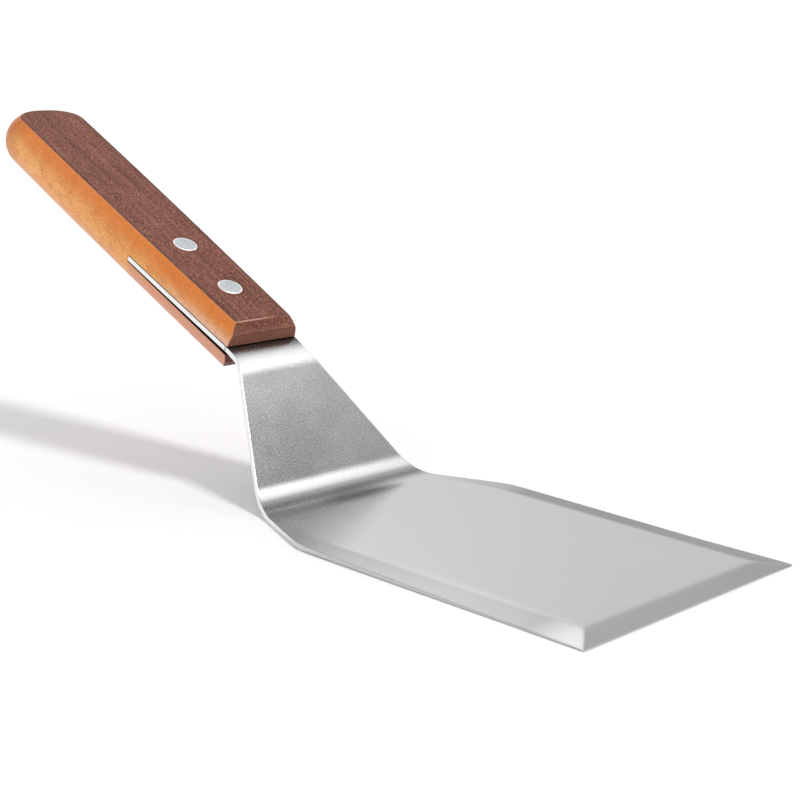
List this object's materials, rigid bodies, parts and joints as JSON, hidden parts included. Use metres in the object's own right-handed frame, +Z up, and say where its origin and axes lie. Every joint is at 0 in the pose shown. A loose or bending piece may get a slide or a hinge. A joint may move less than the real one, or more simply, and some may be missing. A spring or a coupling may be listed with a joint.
{
  "type": "grill spatula",
  "caption": "Grill spatula: wide bevelled stainless blade on a cranked shank, held in a slotted wooden handle by cutler's rivets.",
  "frame": {"origin": "middle of the flat underside of the blade, on the plane that it rests on", "axes": "+X towards the front edge of the blade, +Y to its left, +Z up, away from the surface it rests on"},
  "size_m": [0.2721, 0.0768, 0.1011],
  "materials": {
    "steel": "stainless sheet, brushed along its length, satin",
    "wood": "oiled red-brown hardwood, sawn faces and sanded round sides",
    "rivet": "linished satin"
  },
  "bodies": {
    "root": {"blade": "steel", "handle": "wood", "rivet_front_socket": "rivet", "rivet_front_post": "rivet", "rivet_rear_socket": "rivet", "rivet_rear_post": "rivet"}
  },
  "joints": []
}
